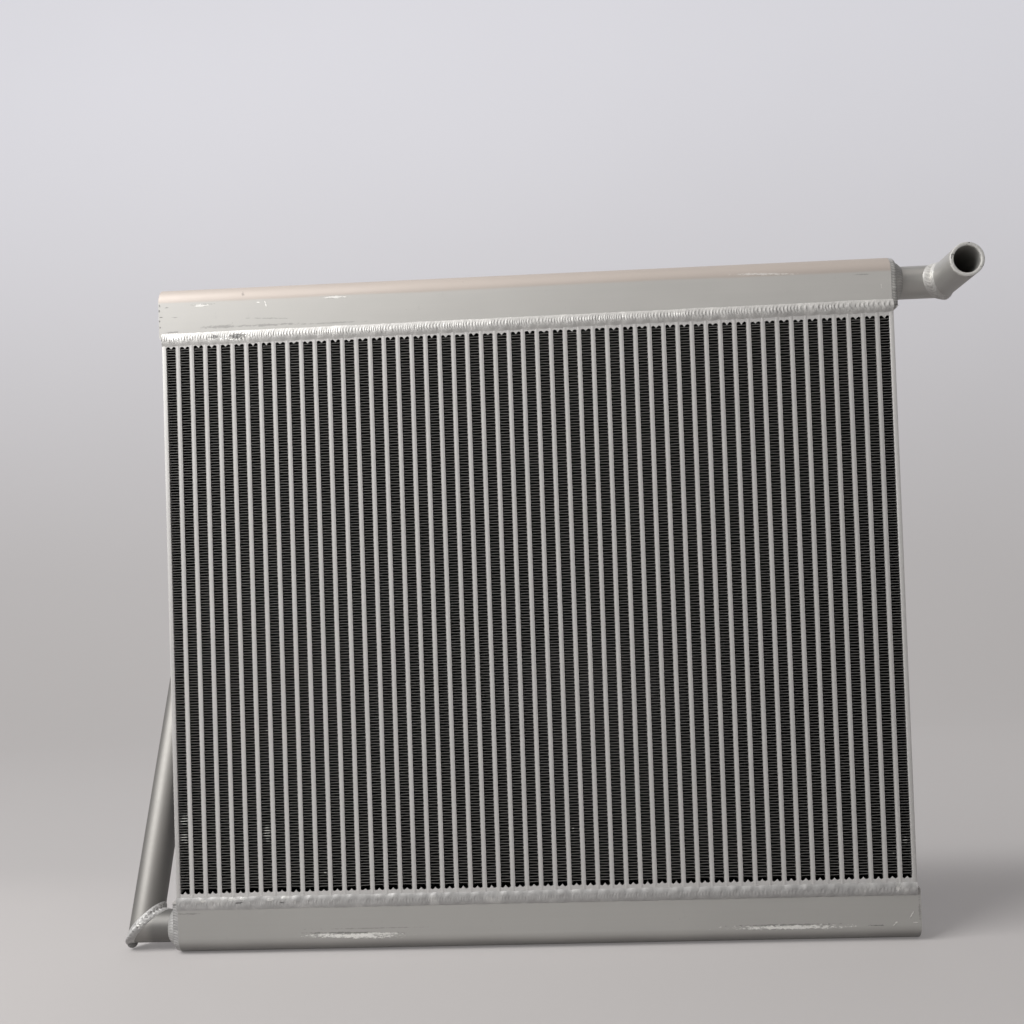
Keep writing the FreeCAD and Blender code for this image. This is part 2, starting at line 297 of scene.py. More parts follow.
def painted(
    name,
    base,
    colours,
    chips=(),
    scuffs=(),
    rough=0.58,
    metal=0.25,
    shaded=0.0,
    dust_and_warm_light=None,
    foot=None,
    sides=None,
    rim=None,
):
    """Satin silver paint on aluminium. Chips show bare metal; scuffs show dirt, and some are painted shadows.

    Chips and scuffs hold (centre, half size, turn, share). Dust, a colour and a height, tints what lies above
    that height: a dusty film, partly painted warm light. Foot is a height below which painted shade darkens
    the paint. Sides holds a place along X, the distances from it at which painted shade starts and is full,
    and its share. Shaded darkens the whole paint as painted shade. Rim is a worn end's place along Y.
    """
    f = Finish(name)
    cloud = f.noise(0.012, 3.0)
    drawn = f.noise(0.5, 2.0, stretch=(0.02, 1, 1))
    grain = f.noise(1.6, 2.0)
    # Shaded darkens the whole paint: painted shade
    tone = 0.93 + cloud * 0.09 + drawn * 0.05 + grain * 0.03 - shaded * 0.1
    tone = tone * (1 - f.span(f.noise(0.09, 5.0, roughness=0.65), 0.62, 0.8) * 0.1)
    skin = f.tinted(base, tone)
    # Above the height the paint warms: a dusty film and painted warm light from above
    if dust_and_warm_light is not None:
        warm_tint, height = dust_and_warm_light
        skin = f.mix(f.span(f.z + (cloud - 0.5) * 3, height - 1.0, height + 1.6) * 0.85, skin, warm_tint)
    # Below the foot the paint darkens: painted shade on the bottom tank's lower shoulder
    if foot is not None:
        skin = f.mix(f.span(f.z + (cloud - 0.5) * 4, foot, foot - 9.0) * 0.5, skin, colours.grime_and_shade)
    # Painted shade away from a place along X: the riser's flanks and the bottom tank's left
    if sides is not None:
        middle, clear, soiled, share = sides
        skin = f.mix(f.span(abs(f.x - middle), clear, soiled) * share, skin, colours.grime_and_shade)
    specks = f.span(f.noise(0.45, 2.0, shift=(40, 7, 3)), 0.765, 0.8)
    skin = f.mix(specks * 0.4, skin, colours.grime_and_shade)
    gloss = rough + (cloud - 0.5) * 0.12 + (drawn - 0.5) * 0.08
    metallic = f.span(grain, 0.0, 1.0, metal - 0.05, metal + 0.05)
    height = grain * 0.2 + drawn * 0.2 + f.noise(0.018, 2.0) * 3.0
    for centre, half_size, turn, share in scuffs:
        mark = f.patch(centre, half_size, turn) * share
        skin = f.mix(mark, skin, colours.grime_and_shade)
        gloss = gloss + mark * 0.2
    for centre, half_size, turn, share in chips:
        under = f.patch((centre[0] + 0.4, centre[1] - 0.6), half_size, turn, 0.8)
        chip = f.patch(centre, half_size, turn) * share
        skin = f.mix(under * share * 0.25, skin, colours.grime_and_shade)
        skin = f.mix(chip, skin, f.tinted(colours.bare, 0.75 + f.noise(0.8, 4.0) * 0.45))
        gloss = gloss + chip * (f.noise(1.1, 3.0) - 0.35) * 0.4
        height = height - chip * (0.4 + f.noise(0.9, 3.0) * 0.8)
    if rim is not None:
        torn = f.noise(0.35, 4.0, roughness=0.65)
        worn = f.span(f.y + (torn - 0.5) * 5, rim + 2.6, rim + 1.2)
        skin = f.mix(worn * 0.8, skin, f.tinted(colours.bare, 0.7 + f.noise(0.5, 4.0) * 0.4))
        nicks = f.span(f.noise(0.3, 3.0, shift=(5, 5, 60)), 0.62, 0.68) * f.span(f.y, rim + 3.0, rim + 2.0)
        skin = f.mix(nicks * 0.7, skin, colours.grime_and_shade)
        height = height - worn * torn * 1.5 - nicks * 2
        gloss = gloss + worn * 0.1
    return f.set(
        Base_Color=skin,
        Roughness=f.span(gloss, 0.2, 0.9, 0.2, 0.9),
        Metallic=metallic,
        Normal=f.bump(height, 0.00012, 0.8),
    )


def make_weld_metal(name, base, colours, bright, pits_and_shade):
    """Weld beads under thin paint, with painted shade in troughs and painted highlight on ripple edges, bare
    bright runs and pits.
    """
    f = Finish(name)
    shade = f.node("ShaderNodeAttribute", {"attribute_name": "shade"}, output="Fac")
    patches = f.span(f.noise(0.05, 3.0, shift=(9, 0, 4)), 0.52, 0.7) * 0.3
    for centre, half_size in bright:
        patches = patches.most(f.patch(centre, half_size, 0.0, 0.5))
    grain = f.noise(1.2, 3.0)
    pits = f.span(f.noise(0.32, 4.0, roughness=0.7), 0.68, 0.76) * 0.5
    # Pits, and one patch of painted shade on the tip's ball
    for centre, half_size in pits_and_shade:
        pits = pits.most(f.patch(centre, half_size, 0.0, 1.6))
    skin = f.tinted(base, 0.86 + grain * 0.24)
    skin = f.mix(patches, skin, f.tinted(colours.bare, 0.9 + grain * 0.2))
    # Painted shade and highlight from the shade attribute: dark troughs, bright ripple edges
    skin = f.tinted(skin, f.span(shade, -1.0, 1.0, 0.2, 1.16))
    skin = f.mix(pits * 0.7, skin, colours.grime_and_shade)
    return f.set(
        Base_Color=skin,
        Roughness=f.span(grain - patches * 0.35, -0.3, 1.0, 0.3, 0.62),
        Metallic=f.span(patches, 0.0, 1.0, 0.25, 0.75),
        Normal=f.bump(grain * 0.6 - pits * 2.0, 0.0002, 0.8),
    )


def make_bar_paint(name, colours, inside=None):
    """Dusty overspray on the bars, with dark specks and faint runs. Inside is the colour behind the faces,
    painted shade.
    """
    f = Finish(name)
    cloud = f.noise(0.01, 3.0)
    runs = f.noise(0.3, 3.0, stretch=(1, 1, 0.06))
    grain = f.noise(1.4, 3.0)
    specks = f.span(f.noise(0.5, 2.0, shift=(3, 1, 8)), 0.75, 0.8)
    skin = f.tinted(colours.bar_paint, 0.84 + cloud * 0.12 + runs * 0.12 + grain * 0.1)
    skin = f.mix(specks * 0.6, skin, colours.grime_and_shade)
    if inside is not None:
        f.shader.inputs["Specular IOR Level"].default_value = 0.15
        # Behind the faces the paint goes to the inside colour: painted shade
        skin = f.mix(f.span(CORE_REAR / MM - abs(f.y), 0.15, 1.6), skin, inside)
    return f.set(
        Base_Color=skin,
        Roughness=f.span(grain, 0.0, 1.0, 0.5, 0.72),
        Metallic=f.span(cloud, 0.0, 1.0, 0.15, 0.25),
        Normal=f.bump(grain + runs, 0.00008, 0.7),
    )


def make_fin_metal(name, colours, core, bends_and_glints):
    """Foil with paint on its edges at the faces, brighter on its crests, near-black inside as painted shade,
    and at bends bare foil with a painted glint.
    """
    f = Finish(name)
    depth = CORE_REAR / MM - abs(f.y) - core.fin_recess / MM
    step = core.column_step / MM
    from_middle = abs((f.x / step).maths("FRACT") - 0.5) * step
    half_column = core.column_width / MM / 2
    on_crest = f.span(from_middle, half_column - 0.8, half_column - 0.5)
    blotch = f.noise(0.06, 3.0) * 0.5 + f.noise(0.9, 2.0) * 0.5
    f.shader.inputs["Specular IOR Level"].default_value = 0.08
    edge = colours.fin_edge
    front = f.mix(on_crest, edge, colours.bar_paint)
    # Behind the faces the foil goes near-black: painted shade in the pockets
    skin = f.mix(f.span(depth, 0.05, 0.3), f.tinted(front, 0.5 + blotch), f.tinted(edge, 0.03))
    skin = f.mix(f.span(depth, 0.3, 1.5), skin, colours.fin_shade)
    # Bends in the legs: bare foil, painted bright as a glint near the faces
    for centre, half_size in bends_and_glints:
        mark = f.patch(centre, half_size, 0.0, 0.5)
        skin = f.mix(mark * f.span(depth, 1.2, 0.6) * 0.55, skin, colours.bare)
    return f.set(
        Base_Color=skin,
        Roughness=f.span(blotch, 0.2, 0.8, 0.5, 0.75),
        Metallic=f.span(blotch, 0.0, 1.0, 0.0, 0.1),
        Normal=f.bump(blotch, 0.00005, 0.5),
    )


def make_bare_metal(name, colours):
    """Brazed aluminium with a soft grain."""
    f = Finish(name)
    grain = f.noise(0.8, 3.0)
    stain = f.span(f.noise(0.05, 3.0), 0.55, 0.75)
    return f.set(
        Base_Color=f.mix(stain * 0.3, f.tinted(colours.bare, 0.85 + grain * 0.2), colours.grime_and_shade),
        Roughness=f.span(grain, 0.0, 1.0, 0.3, 0.5),
        Metallic=f.span(grain, 0.0, 1.0, 0.85, 1.0),
        Normal=f.bump(grain, 0.00006, 0.6),
    )


# Shapes
def new_object(name, bm, material):
    """Makes a bmesh into a smooth object."""
    mesh = bpy.data.meshes.new(name)
    bm.to_mesh(mesh)
    bm.free()
    mesh.polygons.foreach_set("use_smooth", [True] * len(mesh.polygons))
    mesh.materials.append(material)
    made = bpy.data.objects.new(name, mesh)
    bpy.context.scene.collection.objects.link(made)
    return made


def new_piece(name, bm, material, node, crease=CREASE):
    """Makes a bmesh into a piece of the radiator, which rides on the frame and stands for a CAD node."""
    piece = new_object(name, bm, material)
    piece.data.set_sharp_from_angle(angle=math.radians(crease))
    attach(piece, "root")
    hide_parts(node)


def dress(node, material):
    """Gives its finish to a CAD node that is shown as it is."""
    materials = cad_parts[node].data.materials
    materials.clear()
    materials.append(material)


def verts_in(geom):
    return [g for g in geom if isinstance(g, bmesh.types.BMVert)]


def quarter_turn(bm, vert, centre, turn, steps):
    """Draws a vertex a quarter of the way round a centre about X, and returns the last vertex."""
    made = bmesh.ops.spin(
        bm, geom=[vert], cent=centre, axis=(turn, 0, 0), angle=math.pi / 2, steps=steps, use_merge=False
    )
    return verts_in(made["geom_last"])[0]


def draw_out(bm, edges, move):
    """Draws a line of edges out into faces by a move, and returns the edges at the far side."""
    made = bmesh.ops.extrude_edge_only(bm, edges=edges)["geom"]
    bmesh.ops.translate(bm, verts=verts_in(made), vec=move)
    return [g for g in made if isinstance(g, bmesh.types.BMEdge)]


def merged_copy(node):
    """A CAD node's mesh with its loose triangles joined into flat faces."""
    bm = bmesh.new()
    bm.from_mesh(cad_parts[node].data)
    bmesh.ops.remove_doubles(bm, verts=bm.verts, dist=1e-6)
    bmesh.ops.dissolve_limit(
        bm, angle_limit=math.radians(1.0), use_dissolve_boundaries=False, verts=bm.verts, edges=bm.edges
    )
    return bm


def soften(bm, edges, width, segments=1):
    bmesh.ops.bevel(
        bm,
        geom=edges,
        offset=width,
        offset_type="OFFSET",
        segments=segments,
        profile=0.5,
        affect="EDGES",
        clamp_overlap=True,
        material=-1,
    )


def sweep(stations, around, place, closed=False):
    """A skin whose vertex (i, j) lies at place(i, j), with its rounds closed and its ends filled.

    With each point, place gives a shade for the weld's colour: 1 on a ripple's edge, a painted highlight, and
    0 in the trough beyond it, painted shade.
    """
    bm = bmesh.new()
    bmesh.ops.create_grid(bm, x_segments=stations, y_segments=around, size=1)
    shade = bm.verts.layers.float.new("shade")
    for v in bm.verts:
        i = round((v.co.x + 1) / 2 * stations)
        j = round((v.co.y + 1) / 2 * around)
        v.co, v[shade] = place(i % stations if closed else i, j % around)
    bmesh.ops.remove_doubles(bm, verts=bm.verts, dist=1e-7)
    if not closed:
        ends = [e for e in bm.edges if e.is_boundary]
        bmesh.ops.holes_fill(bm, edges=ends, sides=0)
    bmesh.ops.recalc_face_normals(bm, faces=bm.faces)
    return bm


def joined(shapes):
    """Several bmeshes as one."""
    bm = bmesh.new()
    for shape in shapes:
        spare = bpy.data.meshes.new("spare")
        shape.to_mesh(spare)
        shape.free()
        bm.from_mesh(spare)
        bpy.data.meshes.remove(spare)
    return bm


def bead_round(j, around, crown):
    """Where point j of a bead's closed round lies: across from -1 to 1, and whether it is on the crown."""
    if j <= crown:
        return 2 * j / crown - 1, True
    under = around - crown
    return 1 - 2 * (j - crown) / under, False


def ripple(phase, across, bow):
    """A crescent ripple of a bead, from 0 to 1: it rises slowly along the bead and drops at its edge."""
    turn = phase - bow * across * across
    return (turn - math.floor(turn)) * max(0.0, 1 - across * across) ** 0.5


def uneven(*place):
    """A smooth random value from -1 to 1 at a place."""
    return noise.noise(Vector(place))


def wander(x, seed, step):
    """A smooth random value from -1 to 1 along a length."""
    return uneven(x / step, seed, 0.37)


# Operators
class RadiatorOperator:
    bl_options = {"REGISTER", "UNDO"}

    core = property(lambda self: bpy.context.scene.radiator_core)
    tanks = property(lambda self: bpy.context.scene.radiator_tanks)
    pipes = property(lambda self: bpy.context.scene.radiator_pipes)
    welds = property(lambda self: bpy.context.scene.radiator_welds)
    colours = property(lambda self: bpy.context.scene.radiator_colours)

    def column_centres(self):
        first = -(self.core.columns - 1) * self.core.column_step / 2
        return [first + i * self.core.column_step for i in range(self.core.columns)]


class RADIATOR_OT_fins(RadiatorOperator, bpy.types.Operator):
    """Folded air fins at their true pitch, one strip in each column"""

    bl_idname = "radiator.fins"
    bl_label = "Air fins"

    def strip(self, x, rng):
        """One strip: a line folded to and fro up the column, drawn back through the core as a chevron."""
        core = self.core
        bm = bmesh.new()
        foil = core.fin_foil
        half = core.column_width / 2 - foil / 2
        low = CORE_FOOT + core.fin_start
        high = CORE_HEAD - core.fin_start
        legs = round((high - low) / core.fin_pitch)
        pitch = (high - low) / legs
        side = rng.choice((-1, 1))
        tip = bm.verts.new((x + side * half + foil / 2, CORE_FRONT + core.fin_recess, low))
        line = []
        z = low
        sway = 0.0
        for leg in range(legs):
            sway = sway * 0.6 + rng.uniform(-0.1, 0.1) * MM
            crest = (0, core.fin_crest + side * foil)
            slope = (-2 * side * half, pitch - core.fin_crest)
            for across, rise in (crest, slope):
                made = bmesh.ops.extrude_vert_indiv(bm, verts=[tip])
                tip = made["verts"][0]
                z += rise
                tip.co = (tip.co.x + across, tip.co.y, min(z + sway, high))
                line += made["edges"]
            side = -side
        deep = (CORE_REAR - core.fin_recess - tip.co.y) / 2
        for drop in (-core.fin_drop, core.fin_drop):
            line = draw_out(bm, line, (0, deep, drop))
        bmesh.ops.solidify(bm, geom=bm.faces[:], thickness=foil)
        bmesh.ops.recalc_face_normals(bm, faces=bm.faces)
        return bm

    def execute(self, context):
        # Bends in the fins' legs, painted as bare foil with a glint
        bends_and_glints = [
            ((-278.2, 421.7), (1.6, 0.9)),
            ((-314.7, 527.2), (1.8, 0.8)),
            ((-330.8, 125.6), (4.5, 6.0)),
            ((-331.2, 109.3), (4.5, 6.5)),
            ((-253.0, 112.0), (3.8, 10.0)),
            ((-250.2, 206.4), (2.2, 1.0)),
            ((-199.7, 74.5), (2.0, 2.4)),
            ((30.9, 108.9), (1.2, 2.6)),
            ((320.1, 80.6), (1.4, 1.4)),
            ((331.0, 91.3), (2.6, 4.0)),
        ]
        metal = make_fin_metal("fin metal", self.colours, self.core, bends_and_glints)
        centres = self.column_centres()
        half_count = len(centres) // 2
        rng = random.Random(11)
        groups = {"air_fins_left": centres[:half_count], "air_fins_right": centres[half_count:]}
        for name, group in groups.items():
            strips = joined([self.strip(x, rng) for x in group])
            new_piece(name, strips, metal, "air_fins", 30.0)
        return {"FINISHED"}


class RADIATOR_OT_bars(RadiatorOperator, bpy.types.Operator):
    """Long bars, parting sheets, side plates and the spiked end bars"""

    bl_idname = "radiator.bars"
    bl_label = "Bars and plates"

    def long_bars(self, node, name, metal):
        bm = merged_copy(node)
        upright = [e for e in bm.edges if abs(e.verts[0].co.z - e.verts[1].co.z) > MM]
        soften(bm, upright, self.core.bar_edge, 2)
        new_piece(name, bm, metal, node, 50.0)

    def end_bars(self, name, node, seam, outward, metal, rng):
        """One bar in each column, drawn back through the core. Its outline has two arches and a spike."""
        core = self.core
        half = core.column_width / 2
        lowest = 0.58
        bm = bmesh.new()
        for x in self.column_centres():
            lift = rng.uniform(-0.35, 0.35) * MM
            sharp = rng.uniform(-0.5, 0.25) * MM
            lean = rng.uniform(-0.35, 0.35) * MM
            arch = core.end_bar_valley + lift
            outline = [(x + half, 0.0), (x - half, 0.0)]
            for k in range(-END_BAR_STEPS, END_BAR_STEPS + 1):
                t = k / END_BAR_STEPS
                horn = max(0.0, (abs(t) - lowest) / (1 - lowest)) ** 2
                spike = max(0.0, (lowest - abs(t)) / lowest) ** 1.7
                height = arch + (core.end_bar_horn - core.end_bar_valley) * horn
                height += (core.end_bar_spike + sharp - arch) * spike
                outline.append((x + t * half + lean * (1 - abs(t)), height))
            corners = [bm.verts.new((px, CORE_FRONT, seam - outward * h)) for px, h in outline]
            edges = [bm.edges.new((corners[k - 1], corners[k])) for k in range(len(corners))]
            face = bmesh.ops.contextual_create(bm, geom=edges)["faces"]
            made = bmesh.ops.extrude_face_region(bm, geom=face)["geom"]
            bmesh.ops.translate(bm, verts=verts_in(made), vec=(0, CORE_REAR - CORE_FRONT, 0))
        bmesh.ops.recalc_face_normals(bm, faces=bm.faces)
        new_piece(name, bm, metal, node, 35.0)

    def side_plate(self, node, name, metal):
        bm = merged_copy(node)
        soften(bm, bm.edges[:], self.core.bar_edge, 2)
        new_piece(name, bm, metal, node, 50.0)

    def execute(self, context):
        c = self.colours
        metal = make_bar_paint("bar paint", c)
        # Parting sheets and end bars darken behind their faces: painted shade
        edged = make_bar_paint("painted edges", c, c.fin_shade)
        self.long_bars("front_long_bars", "front_bars", metal)
        self.long_bars("rear_long_bars", "rear_bars", metal)
        rng = random.Random(5)
        self.end_bars("top_bar_ends", "top_end_bars", CORE_HEAD, 1, edged, rng)
        self.end_bars("bottom_bar_ends", "bottom_end_bars", CORE_FOOT, -1, edged, rng)
        self.side_plate("left_side_plate", "left_plate", metal)
        self.side_plate("right_side_plate", "right_plate", metal)
        dress("parting_sheets", edged)
        dress("turbulators", make_bare_metal("brazed aluminium", c))
        return {"FINISHED"}


class RADIATOR_OT_tanks(RadiatorOperator, bpy.types.Operator):
    """The two tanks with their end caps"""

    bl_idname = "radiator.tanks"
    bl_label = "Tanks and caps"

    def shell(self, name, node, seam, outward, side, metal):
        """The U channel: half of its section is drawn with a quarter turn, mirrored, and run along X."""
        tanks = self.tanks
        face = TANK_HIGH.z if outward > 0 else TANK_LOW.z
        radius = tanks.corner_radius
        centre = (0, CORE_FRONT + radius, face - outward * radius)
        bm = bmesh.new()
        start = bm.verts.new((0, 0, face))
        edge = bm.verts.new((0, CORE_FRONT + radius, face))
        bm.edges.new((start, edge))
        turned = quarter_turn(bm, edge, centre, outward, CORNER_STEPS)
        foot = bmesh.ops.extrude_vert_indiv(bm, verts=[turned])["verts"][0]
        foot.co.z = seam
        bmesh.ops.mirror(bm, geom=bm.verts[:] + bm.edges[:], merge_dist=1e-6, axis="Y")
        bmesh.ops.translate(bm, verts=bm.verts, vec=(-side * PLAIN_END_X, 0, 0))
        run = side * (PIPE_END_X + PLAIN_END_X) / TANK_SECTIONS
        line = bm.edges[:]
        for _ in range(TANK_SECTIONS):
            line = draw_out(bm, line, (run, 0, 0))
        bmesh.ops.recalc_face_normals(bm, faces=bm.faces)
        top = max(bm.faces, key=lambda f: f.calc_center_median().z * outward)
        if top.normal.z * outward < 0:
            bmesh.ops.reverse_faces(bm, faces=bm.faces)
        bmesh.ops.solidify(bm, geom=bm.faces[:], thickness=tanks.wall)
        bmesh.ops.recalc_face_normals(bm, faces=bm.faces)
        new_piece(name, bm, metal, node, 35.0)

    def execute(self, context):
        c = self.colours
        top_chips = [
            ((-302.5, 607.2), (9.0, 1.5), 0.0, 0.8),
            ((-175.4, 609.1), (12.0, 1.3), 0.0, 0.8),
            ((-247.5, 607.6), (2.6, 1.1), 0.0, 0.9),
            ((-240.3, 605.5), (0.8, 4.4), 0.3, 1.0),
            ((224.0, 612.2), (30.0, 1.2), -0.04, 0.5),
            ((330.0, 596.0), (0.6, 3.0), 0.2, 0.5),
        ]
        top_scuffs_and_shadows = [
            # The first four rows, along the tank's left end, are painted shadows of the bead's ripples
            ((-341.4, 608.3), (1.2, 1.3), 0.0, 0.8),
            ((-341.6, 603.6), (0.9, 1.6), 0.0, 0.6),
            ((-341.6, 593.4), (0.9, 1.3), 0.0, 0.7),
            ((-341.2, 587.7), (1.2, 1.1), 0.0, 0.7),
            ((-339.8, 597.2), (2.4, 0.5), 0.0, 0.8),
            ((-334.7, 606.1), (2.2, 0.7), 0.0, 0.5),
            ((-327.2, 596.6), (3.6, 0.5), 0.0, 0.4),
            ((-302.0, 607.9), (12.0, 0.8), 0.0, 0.45),
            ((-285.0, 586.0), (20.0, 1.8), 0.0, 0.3),
            ((-240.0, 585.6), (34.0, 1.3), 0.0, 0.3),
            ((-180.0, 584.9), (40.0, 0.8), 0.0, 0.25),
            ((-240.0, 592.0), (22.0, 0.7), -0.05, 0.25),
            ((-330.0, 582.6), (11.0, 0.8), 0.0, 0.4),
            ((-262.0, 616.0), (1.5, 3.0), 0.2, 0.35),
            ((312.0, 607.5), (9.0, 0.8), 0.0, 0.3),
        ]
        bottom_chips = [
            ((-176.0, 15.9), (46.0, 2.6), -0.02, 0.9),
            ((-150.0, 17.6), (22.0, 1.2), -0.02, 0.7),
            ((224.0, 15.5), (58.0, 2.3), 0.0, 0.9),
            ((333.9, 24.6), (0.7, 5.4), -0.55, 0.8),
            ((318.6, 16.6), (0.8, 3.4), -0.75, 0.7),
            ((337.5, 17.5), (3.5, 0.6), 0.0, 0.5),
        ]
        bottom_scuffs = [
            ((302.4, 15.6), (8.0, 0.7), 0.0, 0.6),
            ((-176.0, 18.6), (48.0, 1.0), -0.02, 0.5),
            ((224.0, 17.7), (56.0, 0.9), 0.0, 0.4),
            ((-160.0, 22.5), (60.0, 0.6), 0.0, 0.25),
            ((-328.0, 39.0), (16.0, 1.2), -0.03, 0.3),
            ((341.0, 30.0), (1.2, 13.0), 0.0, 0.3),
        ]
        # The bottom tank's paint is darkened overall, at its foot and towards its left: painted shade
        soil = (360.0, 400.0, 720.0, 0.17)
        top = painted("top tank paint", c.paint, c, top_chips, top_scuffs_and_shadows, dust_and_warm_light=(c.dust_and_warm_light, 610.0))
        bottom = painted(
            "bottom tank paint", c.paint, c, bottom_chips, bottom_scuffs, shaded=1.9, foot=13.0, sides=soil
        )
        self.shell("top_tank_channel", "top_tank", CORE_HEAD, 1, 1, top)
        self.shell("bottom_tank_channel", "bottom_tank", CORE_FOOT, -1, -1, bottom)
        caps = painted("cap paint", c.paint, c)
        dress("plain_end_caps", caps)
        dress("pipe_end_caps", caps)
        return {"FINISHED"}


class PipeRun:
    """A mitred pipe: where its stub starts, its corner, and its two directions."""

    def __init__(self, sizes, top):
        side = 1 if top else -1
        z = TANK_HIGH.z - sizes.axis_from_face if top else TANK_LOW.z + sizes.axis_from_face
        reach = sizes.outlet_reach if top else sizes.inlet_reach
        self.side = side
        self.start = Vector((side * PIPE_END_X, 0, z))
        self.corner = Vector((side * (PLATE_X + reach), 0, z))
        self.along = Vector((side, 0, 0))
        if top:
            self.beyond = Vector((0, -1, 0))
            self.length = sizes.outlet_length
        else:
            self.beyond = Vector((0, math.sin(sizes.inlet_lean), math.cos(sizes.inlet_lean)))
            self.length = sizes.inlet_length
        self.normal = (self.along + self.beyond).normalized()
        self.across = self.along.cross(self.beyond).normalized()

    def on_mitre(self, turn, radius):
        """The point of the mitre at a turn round the pipe, and the way out of the metal there."""
        out_stub = self.across * math.cos(turn) + self.across.cross(self.along) * math.sin(turn)
        out_far = self.across * math.cos(turn) + self.across.cross(self.beyond) * math.sin(turn)
        back = radius * out_stub.dot(self.normal) / self.along.dot(self.normal)
        point = self.corner + out_stub * radius - self.along * back
        return point, (out_stub + out_far).normalized()


class RADIATOR_OT_pipes(RadiatorOperator, bpy.types.Operator):
    """The stubs, the outlet spout and the inlet riser, each cut at its mitre"""

    bl_idname = "radiator.pipes"
    bl_label = "Pipes"

    def tube(self, start, direction, length, run, far):
        """A tube drawn from a circle and cut at the mitre. The far one keeps what lies beyond it."""
        pipes = self.pipes
        bm = bmesh.new()
        circle = bmesh.ops.create_circle(bm, cap_ends=False, radius=pipes.radius, segments=PIPE_SEGMENTS)
        turn = direction.to_track_quat("Z", "Y").to_matrix().to_4x4()
        bmesh.ops.transform(bm, matrix=Matrix.Translation(start) @ turn, verts=circle["verts"])
        line = bm.edges[:]
        steps = max(4, round(length / PIPE_SECTION))
        for _ in range(steps):
            line = draw_out(bm, line, direction * (length / steps))
        bmesh.ops.recalc_face_normals(bm, faces=bm.faces)
        probe = bm.faces[0]
        centre = probe.calc_center_median()
        axis_point = start + direction * (centre - start).dot(direction)
        if probe.normal.dot(centre - axis_point) < 0:
            bmesh.ops.reverse_faces(bm, faces=bm.faces)
        inner = bm.copy()
        for v in inner.verts:
            axis_point = start + direction * (v.co - start).dot(direction)
            v.co = axis_point + (v.co - axis_point) * (1 - pipes.wall / pipes.radius)
        bmesh.ops.reverse_faces(inner, faces=inner.faces)
        bm = joined([bm, inner])
        bmesh.ops.bisect_plane(
            bm,
            geom=bm.verts[:] + bm.edges[:] + bm.faces[:],
            plane_co=run.corner,
            plane_no=run.normal,
            clear_inner=far,
            clear_outer=not far,
        )
        for first, second in self.paired_loops([e for e in bm.edges if e.is_boundary]):
            bmesh.ops.bridge_loops(bm, edges=first + second)
        bmesh.ops.recalc_face_normals(bm, faces=bm.faces)
        if far:
            end = start + direction * length
            sharp = [e for e in bm.edges if e.calc_face_angle(0) > 1.0]
            rim = [e for e in sharp if all(abs((v.co - end).dot(direction)) < 1e-5 for v in e.verts)]
            soften(bm, rim, PIPE_RIM_ROUND, 2)
        return bm

    def paired_loops(self, rims):
        """Pairs the boundary loops of a double tube by the end that they lie at."""
        left = set(rims)
        loops = []
        while left:
            loop = [left.pop()]
            for edge in loop:
                beside = {e for v in edge.verts for e in v.link_edges} & left
                left -= beside
                loop.extend(beside)
            loops.append(loop)
        centres = []
        for loop in loops:
            total = Vector()
            for e in loop:
                total += (e.verts[0].co + e.verts[1].co) / 2
            centres.append(total / len(loop))
        pairs = []
        while loops:
            first = loops.pop()
            place = centres.pop()
            near = min(range(len(loops)), key=lambda i: (centres[i] - place).length)
            pairs.append((first, loops.pop(near)))
            centres.pop(near)
        return pairs

    def execute(self, context):
        c = self.colours
        pipes = self.pipes
        # The stub's and spout's paints are darkened copies of the tank paint: painted shade
        metal = painted("pipe paint", c.paint, c, rough=0.5, metal=0.65, shaded=0.6)
        rim = -pipes.outlet_length / MM
        worn = painted("spout paint", c.paint, c, rough=0.5, metal=0.5, shaded=2.2, rim=rim)
        # Painted shade on the riser's left and right flanks
        soil = (-380.5, 4.0, 14.0, 0.5)
        soiled = painted("shaded inlet paint", c.shaded_inlet_paint, c, rough=0.55, metal=0.6, sides=soil)
        spare = 3 * pipes.radius
        for top, stub_name, far_name, node, stub_skin, far_skin in (
            (True, "outlet_stub", "outlet_spout_pipe", "outlet_spout", metal, worn),
            (False, "inlet_stub", "inlet_riser_pipe", "inlet_riser", soiled, soiled),
        ):
            run = PipeRun(pipes, top)
            reach = (run.corner - run.start).length
            stub = self.tube(run.start, run.along, reach + spare, run, False)
            new_piece(stub_name, stub, stub_skin, "pipe_stubs")
            begin = run.corner - run.beyond * spare
            far = self.tube(begin, run.beyond, run.length + spare, run, True)
            new_piece(far_name, far, far_skin, node)
        return {"FINISHED"}


